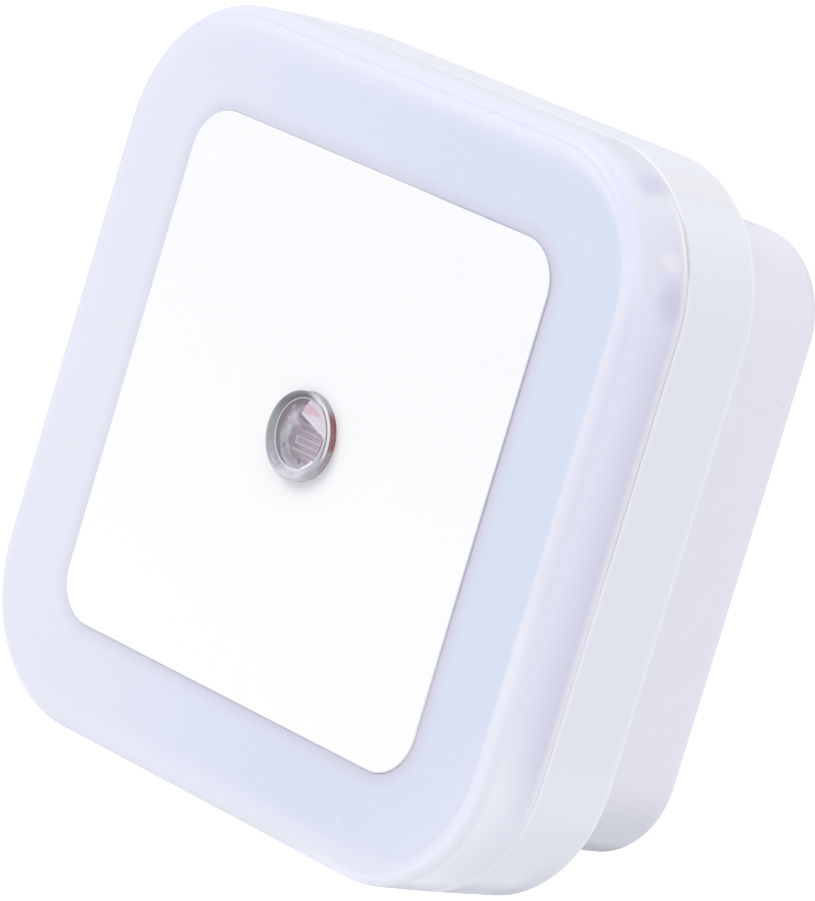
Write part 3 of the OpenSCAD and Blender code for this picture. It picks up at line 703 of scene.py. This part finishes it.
def lens_finish(sensor):
    """Clear moulded plastic: glassy grey in its rim and wall with painted light, shade and reflections on
    them, see-through in its thin window with painted reflections over it, and a painted glow in its bore.
    """
    paint = Paint("lens_clear")
    across = paint.x - SENSOR_X / MM
    up = paint.z - SENSOR_Z / MM
    depth = paint.y - LENS_FRONT_Y / MM
    out = length(across, up)
    # The dish is sunk a little off the middle
    off = length(across, up - 0.17)
    window_depth = (sensor.dish + sensor.window) / MM
    ragged = paint.noise(1.5) - 0.5

    def toward(degrees, low, high=1.0):
        """1 in a direction from the lens's middle, and 0 where the cosine to it is below low."""
        angle = math.radians(degrees)
        return ((across * math.cos(angle) + up * math.sin(angle)) / out).rise(low, high)

    def spot(place_x, place_z, inner, outer):
        """1 near a place in the window and 0 away from it, with a ragged outline."""
        return (length(across - place_x, up - place_z) + ragged * outer).rise(outer, inner)

    # Painted light and shade on the rim and wall, by direction: darker towards the upper left and left,
    # lighter below and at the upper right
    clouds = paint.noise(1.4, 3.0)
    tone = paint.mix(darker(sensor.glass, 0.9), sensor.glass, clouds).under(*(
        (tint, toward(degrees, low, high) * strength)
        for degrees, low, high, tint, strength in (
            (130, 0.0, 0.8, (146, 144, 148), 1.0), (185, 0.7, 1.0, (186, 188, 188), 0.8),
            (235, 0.8, 1.0, (176, 174, 190), 0.8), (278, 0.8, 0.98, (226, 225, 233), 0.9),
            (40, 0.6, 0.95, (232, 228, 236), 0.9), (0, 0.93, 1.0, (196, 188, 194), 0.7))))
    # Painted highlight round the dish's edge, and faceted painted reflections at the lower left
    dish_edge_highlight = abs(off - 2.88).rise(0.1, 0.04) * depth.rise(0.2, 0.3)
    facet_reflections = paint.noise(3.2, 2.0, (1, 1, 0.5)).rise(0.48, 0.6) * toward(250, 0.86, 0.96)
    at_right = toward(22, 0.72, 0.88)
    # A painted dark line on the rim at the right, and a painted highlight on its edge beyond it
    groove = abs(out - 3.52).rise(0.09, 0.03) * at_right
    # Painted shade on the wall at the upper right, and a painted reflection of the sensor's red track on the
    # wall at the right
    wall = depth.rise(0.25, 0.35) * out.rise(3.5, 3.6)
    red = toward(20, 0.84, 0.96) | toward(-8, 0.85, 0.95) * 0.4
    tone = tone.under(
        (darker(sensor.glass, 0.55), clouds.rise(0.5, 0.3) * 0.35),
        ((244, 242, 248), dish_edge_highlight * 0.85),
        ((232, 231, 240), facet_reflections * 0.5),
        ((128, 122, 134), groove * 0.9),
        ((246, 245, 248), out.rise(3.58, 3.63) * (1.0 - wall) * at_right),
        ((150, 150, 150), wall * toward(50, 0.8, 0.95) * 0.8),
        ((138, 56, 66), wall * red * 0.85))
    smears = paint.noise(1.2, 3.0)
    glass = paint.surface(tone, 0.05 + smears * 0.08, Transmission_Weight=0.2, IOR=1.49)

    # The bore behind the window has a painted glow of its own colour, and painted shadow towards its upper
    # left
    mottled = paint.mix(darker(sensor.lining, 0.75), sensor.lining, paint.noise(0.9, 3.0).rise(0.3, 0.5))
    shadow = mottled.under(((140, 126, 136), toward(128, 0.3, 0.9) * depth.rise(2.4, 1.6)))
    lining = paint.surface(shadow, 0.3, Emission_Color=shadow, Emission_Strength=0.6)
    in_bore = depth.rise(window_depth - 0.1, window_depth + 0.1) * out.rise(3.3, 3.2)

    # What the window mirrors: a pale wedge with a pink band, a pale arc, shaded patches and a bright arc
    wedge = (up + 0.34 * across).rise(1.52, 1.62) * (across - 0.4 * up).rise(-1.25, -1.15)
    fine = paint.math("SINE", (up + 0.3 * across) * 17.0).rise(0.5, 0.95)
    pink = (up - 0.14 * across).rise(1.78, 1.88) * up.rise(2.75, 2.6) * across.rise(2.2, 2.0)
    seen = paint.mix(sensor.mirrored, (206, 198, 210), fine * 0.6).under(((230, 196, 210), pink))
    rest = 1.0 - wedge
    cover = wedge * 0.8
    pale = out.rise(2.68, 2.78) * toward(28, 0.6, 0.75)
    crescent = off.rise(2.2, 2.5) * toward(122, 0.5, 0.85) * rest
    patch = (spot(-1.1, 1.15, 0.2, 1.15) | spot(-1.35, 0.35, 0.0, 0.95)) * rest
    for shape, tint, strength in (
            (pale, (232, 227, 235), 0.85), (crescent, (128, 110, 124), 0.75), (patch, (203, 201, 209), 0.7),
            (spot(-1.4, -1.15, 0.1, 0.35), (104, 98, 106), 0.6),
            (spot(0.85, -1.95, 0.1, 0.32), (104, 90, 102), 0.6),
            (abs(out - 2.75).rise(0.1, 0.04) * toward(-6, 0.95, 0.97), (122, 112, 124), 0.7),
            (abs(out - 2.7).rise(0.13, 0.06) * toward(-48, 0.955, 0.975), (255, 255, 255), 0.95)):
        seen = seen.under((tint, shape.rise(0.0, 0.25)))
        cover = cover | shape * strength
    veil = paint.surface(seen, 0.2)
    clear = paint.node("BsdfTransparent", {"Color": (246, 246, 248)})
    shine = paint.node("BsdfGlossy", {"Color": (1.0, 1.0, 1.0), "Roughness": 0.04})
    facing = paint.node("LayerWeight", {"Blend": 0.5}, "Facing")
    window = paint.blend(clear, shine, 0.04 + 0.9 * facing ** 5)
    in_front = depth.rise(window_depth - 0.2, window_depth - 0.3)
    front = paint.blend(window, veil, cover * in_front)
    return paint.finish(paint.blend(front, paint.blend(glass, lining, in_bore), off.rise(2.82, 2.88)))


def sensor_finish(name, tint, roughness, metallic=0.0):
    """Fired ceramic and the films on it."""
    paint = Paint(name)
    tone = paint.mix(darker(tint, 0.86), tint, paint.noise(1.5))
    grain = paint.noise(14.0)
    normal = paint.bump(grain, 0.01, 0.6)
    return paint.finish(paint.surface(tone, roughness + grain * 0.1, Normal=normal, Metallic=metallic))


def moulded_finish(name, tint, roughness=0.45):
    """Small moulded or dipped parts inside the casing."""
    paint = Paint(name)
    clouds = paint.noise(0.5, 3.0)
    tone = paint.mix(darker(tint, 0.85), tint, clouds)
    normal = paint.bump(paint.noise(8.0), 0.01, 0.5)
    return paint.finish(paint.surface(tone, roughness + clouds * 0.1, Normal=normal))


def metal_finish(name, tint, roughness=0.25, drawn=(1, 0.08, 1)):
    """Plated or tinned metal, drawn along Y, with fine scratches."""
    paint = Paint(name)
    drawn_lines = paint.noise(12.0, 3.0, drawn)
    clouds = paint.noise(0.4, 3.0)
    tone = paint.mix(darker(tint, 0.78), tint, clouds * 0.5 + drawn_lines * 0.5)
    scratches = paint.lines(0.5, 0.01, (1, 0.2, 1))
    rough = roughness + drawn_lines * 0.16 + scratches * 0.1
    normal = paint.bump(drawn_lines + scratches * 0.5, 0.004, 0.6)
    return paint.finish(paint.surface(tone, rough, Normal=normal, Metallic=1.0))


# ---------- operators ----------


class NIGHT_LIGHT_OT_rear_casing(bpy.types.Operator):
    """Models the white casing: a wide tray in front and a narrower plinth behind it"""

    bl_idname = "night_light.rear_casing"
    bl_label = "Rear casing"

    def execute(self, context):
        casing, = build(context, "casing")
        lip, fillet, edge = casing.lip_radius, casing.step_radius, casing.plinth_edge
        side_y = CASING_Y + lip
        step_y = -casing.plinth_depth
        # The slab that the tray is drawn from, and what stays flat of the step round the plinth
        slab_y = side_y + 0.2 * MM
        flat = 0.2 * MM
        piece = rounded_block("casing_shell", FACE_HALF, FACE_HALF, side_y, slab_y, casing.corner_radius)
        with editing(piece):
            # The front edge, the wall and the two hollows inside
            pick(flat_at(side_y, -1))
            round_over(lip, lip, LIP_STEPS)
            step(casing.wall - lip, 0.0)
            step(0.0, CASING_Y - BOARD_BACK_Y)
            step(FACE_HALF - casing.plinth_half, 0.0)
            step(0.0, BOARD_BACK_Y + casing.back_wall)
            # The drafted side and the round edge of the step
            pick(flat_at(slab_y, 1))
            step(casing.draft, step_y - fillet - slab_y)
            round_over(fillet, fillet, steps=5)
            step(FACE_HALF - casing.draft - fillet - casing.plinth_half - flat, 0.0)
            # The plinth is its own block, and its front opens into the step
            add_box(casing.plinth_half, casing.plinth_half, step_y + flat, -edge)
            round_corners(casing.plinth_corner)
            pick(lambda face: flat_at(step_y + flat, -1)(face) or flat_at(step_y, 1)(face))
            bpy.ops.mesh.bridge_edge_loops()
            pick(flat_at(-edge, 1))
            round_over(edge, edge, steps=10)
            close_up()
        combine(piece, self.inner_seats(casing), "UNION")
        combine(piece, self.slot_cutter(), "DIFFERENCE")
        hand_over(piece, casing_finish(casing), "casing_plastic", "rear_casing")
        return {"FINISHED"}

    def inner_seats(self, casing):
        """The pad that carries the blades and the four bosses under the board, sunk into the back wall."""
        end_y = 0.3 * MM - casing.back_wall
        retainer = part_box("blade_retainer")[1]
        pad = rounded_block("pad", retainer.x, retainer.z, retainer.y, end_y, 2 * MM)
        boss_radius, boss_wall, pilot_depth, screw_head = 2.8 * MM, 1.65 * MM, 7 * MM, 1.98 * MM
        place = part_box("board_screws")[1].x - screw_head
        add_rod(boss_radius, BOARD_BACK_Y, end_y, place, place, points=48)
        boss = new_piece("boss")
        with editing(boss):
            pick(flat_at(BOARD_BACK_Y, -1))
            step(boss_wall, 0.0)
            step(0.0, -pilot_depth)
        return joined([pad, boss, *(copied(boss, turned(angle)) for angle in (90, 180, 270))], "seats")

    def slot_cutter(self):
        """The two slots that the blades pass through, with a slight lead-in at the back."""
        gap, lead = 0.1 * MM, 0.25 * MM
        thick, tall = BLADE_THICK / 2 + gap, BLADE_HALF + gap
        add_box(thick, tall, -6 * MM, -lead, BLADE_X)
        slot = new_piece("slot")
        with editing(slot):
            pick(lambda face: face.normal.y > 0.9)
            step(0.0, lead)
            widened = (1 + lead / thick, 1, 1 + lead / tall)
            bpy.ops.transform.resize(value=widened, center_override=(BLADE_X, 0, 0))
            step(0.0, 1 * MM)
        return joined([slot, copied(slot, Matrix.Translation((-2 * BLADE_X, 0, 0)))], "slots")


def lens_hole(sensor, plate):
    """A rod that cuts the hole for the lens."""
    add_rod(sensor.lens_radius + plate.gap, LENS_FRONT_Y, BOARD_BACK_Y, SENSOR_X, SENSOR_Z)
    return new_piece("hole")


class NIGHT_LIGHT_OT_diffuser(bpy.types.Operator):
    """Models the translucent ring and rim with the skirt and pegs behind them"""

    bl_idname = "night_light.diffuser"
    bl_label = "Diffuser"

    def execute(self, context):
        diffuser, casing, plate, sensor = build(context, "diffuser", "casing", "plate", "sensor")
        lip = casing.lip_radius
        back_y = CASING_Y - diffuser.groove
        web_y = FRONT_Y + diffuser.web
        skirt_y = CASING_Y - diffuser.groove / 2 + diffuser.skirt_depth
        side_y = FRONT_Y + diffuser.round_depth
        piece = rounded_block(
            "diffuser_shell", FACE_HALF, FACE_HALF, side_y, back_y - lip, casing.corner_radius)
        with editing(piece):
            pick(flat_at(side_y, -1))
            round_over(diffuser.round_width, diffuser.round_depth)
            # The skirt and the hollow behind the front
            pick(flat_at(back_y - lip, 1))
            round_over(lip, lip, LIP_STEPS)
            step(casing.wall + plate.gap - lip, 0.0)
            step(0.0, skirt_y - back_y)
            step(diffuser.skirt, 0.0)
            step(0.0, web_y - skirt_y)
            close_up()
        # The recess for the plate and the hole for the lens
        reach = PLATE_HALF + plate.gap
        recess = rounded_block(
            "recess", reach, reach, LENS_FRONT_Y, PLATE_BACK_Y, plate.corner_radius + plate.gap)
        combine(piece, recess, "DIFFERENCE")
        combine(piece, lens_hole(sensor, plate), "DIFFERENCE")
        piece = joined([piece, *self.pegs(diffuser, casing, web_y)], "diffuser_shell")
        hand_over(piece, diffuser_finish(diffuser, casing, plate), "diffuser_plastic", "diffuser")
        return {"FINISHED"}

    def pegs(self, diffuser, casing, web_y):
        """A pair of pegs in each corner, sunk into the front, each 14 degrees off the corner's middle."""
        radius = diffuser.peg_diameter / 2
        off_wall, sunk, tip = 0.2 * MM, 0.3 * MM, 0.3 * MM
        reach = casing.corner_radius - casing.wall - off_wall - radius
        add_rod(radius, web_y - sunk, PEG_END_Y, reach, 0, points=32)
        peg = new_piece("peg")
        with editing(peg):
            pick(flat_at(PEG_END_Y, 1))
            round_over(tip, tip, steps=3)
        bend = FACE_HALF - casing.corner_radius
        to_bend = Matrix.Translation((bend, 0, bend))
        made = [
            copied(peg, turned(corner) @ to_bend @ turned(angle))
            for corner in (0, 90, 180, 270) for angle in (-45 - 14, -45 + 14)]
        bpy.data.objects.remove(peg)
        return made


class NIGHT_LIGHT_OT_front_plate(bpy.types.Operator):
    """Models the white plate with its rounded edge and the hole for the lens"""

    bl_idname = "night_light.front_plate"
    bl_label = "Front plate"

    def execute(self, context):
        plate, sensor = build(context, "plate", "sensor")
        side_y = PLATE_FRONT_Y + plate.edge
        piece = rounded_block(
            "front_plate_cover", PLATE_HALF, PLATE_HALF, side_y, PLATE_BACK_Y, plate.corner_radius)
        with editing(piece):
            pick(flat_at(side_y, -1))
            round_over(plate.edge, plate.edge, LIP_STEPS)
            close_up()
        combine(piece, lens_hole(sensor, plate), "DIFFERENCE")
        hand_over(piece, plate_finish(plate), "plate_plastic", "front_plate")
        return {"FINISHED"}


class NIGHT_LIGHT_OT_sensor_lens(bpy.types.Operator):
    """Models the clear cap with its raised round rim, dish and bore"""

    bl_idname = "night_light.sensor_lens"
    bl_label = "Sensor lens"

    # The slope into the dish, as shares of its width and of the dish's depth
    SLOPE = ((0.15, 0.08), (0.35, 0.32), (0.35, 0.4), (0.15, 0.2))

    def execute(self, context):
        sensor, diffuser = build(context, "sensor", "diffuser")
        web_y = FRONT_Y + diffuser.web
        lip = sensor.rim_width / 3
        add_rod(LENS_FLANGE_R, web_y, LENS_BACK_Y, SENSOR_X, SENSOR_Z)
        piece = new_piece("sensor_lens_cap")
        with editing(piece):
            # The wall, the round rim, the slope into the dish and the dish's faint swell
            pick(flat_at(web_y, -1))
            step(LENS_FLANGE_R - sensor.lens_radius, 0.0)
            step(0.0, web_y - LENS_FRONT_Y - lip)
            round_over(lip, lip, steps=6)
            slope = 0.6 * sensor.rim_width
            step(sensor.rim_width - lip - slope, 0.0)
            for inset, drop in self.SLOPE:
                step(inset * slope, -drop * sensor.dish)
            swell, rings, ring_width = 0.1 * MM, 6, 0.42 * MM
            for ring in range(rings):
                step(ring_width, swell * (2 * (rings - ring) - 1) / rings ** 2)
            # The bore behind the window
            pick(flat_at(LENS_BACK_Y, 1))
            gap, bore_round = 0.05 * MM, 0.15 * MM
            step(LENS_FLANGE_R - sensor.lens_radius + sensor.rim_width + gap, 0.0)
            step(0.0, LENS_FRONT_Y + sensor.dish + sensor.window - LENS_BACK_Y + bore_round)
            round_over(bore_round, -bore_round, steps=4)
            close_up()
        hand_over(piece, lens_finish(sensor), "lens_clear", "sensor_lens")
        return {"FINISHED"}


class NIGHT_LIGHT_OT_light_sensor(bpy.types.Operator):
    """Finishes the light sensor: ceramic disc, metal film, winding track and leads"""

    bl_idname = "night_light.light_sensor"
    bl_label = "Light sensor"

    def execute(self, context):
        sensor, = build(context, "sensor")
        paint_nodes({
            "sensor_body": sensor_finish("sensor_ceramic", sensor.ceramic, 0.5),
            "sensor_electrodes": sensor_finish("sensor_film", sensor.film, 0.35, 0.6),
            "sensor_track": sensor_finish("sensor_track", sensor.track, 0.5),
            "sensor_sleeve": moulded_finish("sleeve_plastic", display(225, 225, 225)),
            "sensor_leads": metal_finish("tinned_leads", display(215, 217, 220)),
        })
        return {"FINISHED"}


class NIGHT_LIGHT_OT_plug_blades(bpy.types.Operator):
    """Models the two flat blades with rounded edges, a bevelled end and a hole"""

    bl_idname = "night_light.plug_blades"
    bl_label = "Plug blades"

    def execute(self, context):
        plug, = build(context, "plug")
        tip_y = BLADE_HIGH.y
        pad_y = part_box("blade_retainer")[1].y
        # Inside the casing a blade has a wider shoulder and a narrower tail, which overlap to join
        shoulder_y = pad_y - 1.5 * MM
        tail_half, overlap = 1.7 * MM, 0.5 * MM
        parts = []
        for name, half_z, y0, y1 in (
                ("live_blade_metal", BLADE_HALF, pad_y - overlap, tip_y),
                ("shoulder", BLADE_HIGH.z, shoulder_y, pad_y),
                ("tail", tail_half, BLADE_LOW.y, shoulder_y + overlap)):
            add_box(BLADE_THICK / 2, half_z, y0, y1, BLADE_X)
            parts.append(new_piece(name))
        blade, *inner_parts = parts
        with editing(blade):
            pick(lambda edge: all(abs(v.co.y - tip_y) < TINY for v in edge.verts)
                 and abs(edge.verts[0].co.z - edge.verts[1].co.z) < TINY, "EDGE")
            bpy.ops.mesh.bevel(offset=plug.tip_bevel, segments=3, profile=0.35, affect="EDGES")
            close_up()
        for part in inner_parts:
            combine(blade, part, "UNION")
        clear_selection()
        bpy.ops.mesh.primitive_cylinder_add(
            vertices=64, radius=plug.hole_diameter / 2, depth=3 * BLADE_THICK,
            location=(BLADE_X, plug.hole_place, 0), rotation=(0, math.radians(90), 0))
        combine(blade, new_piece("hole"), "DIFFERENCE")
        apply_modifier(blade, "BEVEL", width=plug.edge, segments=3, limit_method="ANGLE",
                       angle_limit=math.radians(40), harden_normals=False)
        other = copied(blade, Matrix.Translation((-2 * BLADE_X, 0, 0)))
        other.name = other.data.name = "neutral_blade_metal"
        metal = metal_finish("blade_metal", plug.metal)
        hand_over(blade, metal, "blade_metal", "live_blade")
        hand_over(other, metal, "blade_metal", "neutral_blade")
        return {"FINISHED"}


def paint_nodes(finishes):
    """Gives solids that are kept as they are their finishes, by node."""
    for node, material in finishes.items():
        paint_piece(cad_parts[node], material)


class NIGHT_LIGHT_OT_inside(bpy.types.Operator):
    """Finishes the circuit board, its components, the wires and the screws"""

    bl_idname = "night_light.inside"
    bl_label = "Inside"

    # Each moulded or dipped node, its material, its colour on screen and its roughness
    MOULDED = (
        ("circuit_board", "board", (242, 242, 238), 0.4),
        ("led_packages", "led_package", (246, 246, 242), 0.4),
        ("led_phosphor", "led_phosphor", (238, 222, 120), 0.3),
        ("dropper_capacitor", "film_capacitor", (225, 190, 70), 0.35),
        ("smoothing_capacitor", "capacitor_can", (60, 64, 84), 0.3),
        ("bleeder_resistor", "resistor_tan", (214, 190, 150), 0.4),
        ("inrush_resistor", "resistor_blue", (120, 155, 190), 0.4),
        ("live_wire", "wire_black", (44, 44, 48), 0.4),
        ("neutral_wire", "wire_white", (236, 236, 236), 0.4),
        ("blade_retainer", "retainer_plastic", (222, 222, 220), 0.45),
    )

    def execute(self, context):
        black = moulded_finish("black_resin", display(46, 46, 50), 0.55)
        steel = metal_finish("screw_steel", display(200, 200, 204), 0.3, (1, 1, 1))
        tin = metal_finish("tinned_wire", display(215, 217, 220), 0.3)
        paint_nodes({node: moulded_finish(name, display(*tint), rough)
                     for node, name, tint, rough in self.MOULDED})
        paint_nodes(dict.fromkeys(("rectifier", "transistor", "chip_resistors"), black))
        paint_nodes(dict.fromkeys(("board_screws", "retainer_screws"), steel))
        paint_nodes({"solder_joints": tin})
        return {"FINISHED"}


class NIGHT_LIGHT_OT_stage(bpy.types.Operator):
    """Sets up the camera, the pale floor and the soft studio light"""

    bl_idname = "night_light.stage"
    bl_label = "Stage"

    # The camera's place, and its right, up and backward directions
    CAMERA_PLACE = (0.41804, -0.42577, 0.08380)
    CAMERA_RIGHT = (0.64239657, 0.71158085, 0.2845687)
    CAMERA_UP = (-0.2979998, -0.11016389, 0.94818776)
    CAMERA_BACK = (0.70606145, -0.69391398, 0.14128205)
    # Focal length of a 36 mm frame as tall as the picture of 815 by 901 pixels
    CAMERA_LENS = 290.77

    def execute(self, context):
        stage, = build(context, "stage")
        self.camera(context)
        self.floor(stage)
        self.lights(context, stage)
        context.scene.view_settings.view_transform = "Standard"
        return {"FINISHED"}

    def camera(self, context):
        camera = bpy.data.objects.new("camera", bpy.data.cameras.new("camera"))
        context.scene.collection.objects.link(camera)
        camera.data.lens = self.CAMERA_LENS
        camera.data.clip_start, camera.data.clip_end = 0.05, 20
        turn = Matrix((self.CAMERA_RIGHT, self.CAMERA_UP, self.CAMERA_BACK)).transposed().to_4x4()
        camera.matrix_world = Matrix.Translation(self.CAMERA_PLACE) @ turn
        context.scene.camera = camera

    def floor(self, stage):
        """A pale floor. It doesn't light the undersides, which the even light from all sides does."""
        clear_selection()
        bpy.ops.mesh.primitive_plane_add(size=8, location=(0, 0, cad_low.z - stage.floor_drop))
        floor = new_piece("floor")
        pale = Paint("pale_floor")
        tone = pale.mix((246, 247, 249), (250, 250, 251), pale.noise(0.01))
        surface = pale.surface(tone, 0.8, Emission_Color=(1.0, 1.0, 1.0), Emission_Strength=0.5)
        paint_piece(floor, pale.finish(surface))
        floor.visible_diffuse = False

    def lights(self, context, stage):
        world = bpy.data.worlds.new("studio")
        world.use_nodes = True
        background = world.node_tree.nodes["Background"]
        background.inputs["Color"].default_value = (0.97, 0.98, 1.0, 1)
        background.inputs["Strength"].default_value = stage.room_light
        context.scene.world = world
        self.area(context, "key", stage.key_power, 0.7, (-0.40, -0.72, 0.65))
        self.area(context, "side", stage.side_power, 0.6, (0.85, 0.1, 0.3))
        self.area(context, "top", stage.top_power, 0.7, (0.5, -0.25, 0.75))

    def area(self, context, name, power, width, place):
        light = bpy.data.lights.new(name, "AREA")
        light.energy, light.size = power, width
        lamp = bpy.data.objects.new(name, light)
        context.scene.collection.objects.link(lamp)
        lamp.location = place
        lamp.rotation_euler = (-Vector(place)).to_track_quat("-Z", "Y").to_euler()


class NIGHT_LIGHT_PT_pieces(bpy.types.Panel):
    """Lists the pieces of the night light and their sizes and colours"""

    bl_label = "Night light"
    bl_space_type = "VIEW_3D"
    bl_region_type = "UI"
    bl_category = "Night light"

    def draw(self, context):
        layout = self.layout
        for operator in OPERATORS:
            layout.operator(operator.bl_idname)
        for settings in build(context, *SETTINGS):
            box = layout.box()
            for prop in settings.bl_rna.properties:
                if not prop.is_readonly and prop.identifier != "name":
                    box.prop(settings, prop.identifier)


OPERATORS = (
    NIGHT_LIGHT_OT_stage,
    NIGHT_LIGHT_OT_rear_casing,
    NIGHT_LIGHT_OT_diffuser,
    NIGHT_LIGHT_OT_front_plate,
    NIGHT_LIGHT_OT_sensor_lens,
    NIGHT_LIGHT_OT_light_sensor,
    NIGHT_LIGHT_OT_plug_blades,
    NIGHT_LIGHT_OT_inside,
)
CLASSES = (*SETTINGS.values(), *OPERATORS, NIGHT_LIGHT_PT_pieces)


def register():
    for cls in CLASSES:
        bpy.utils.register_class(cls)
    for name, cls in SETTINGS.items():
        setattr(bpy.types.Scene, "night_light_" + name, PointerProperty(type=cls))


def unregister():
    for name in SETTINGS:
        delattr(bpy.types.Scene, "night_light_" + name)
    for cls in reversed(CLASSES):
        bpy.utils.unregister_class(cls)


def main():
    register()
    bpy.ops.night_light.stage()
    bpy.ops.night_light.rear_casing()
    bpy.ops.night_light.diffuser()
    bpy.ops.night_light.front_plate()
    bpy.ops.night_light.sensor_lens()
    bpy.ops.night_light.light_sensor()
    bpy.ops.night_light.plug_blades()
    bpy.ops.night_light.inside()


if __name__ == "__main__":
    main()
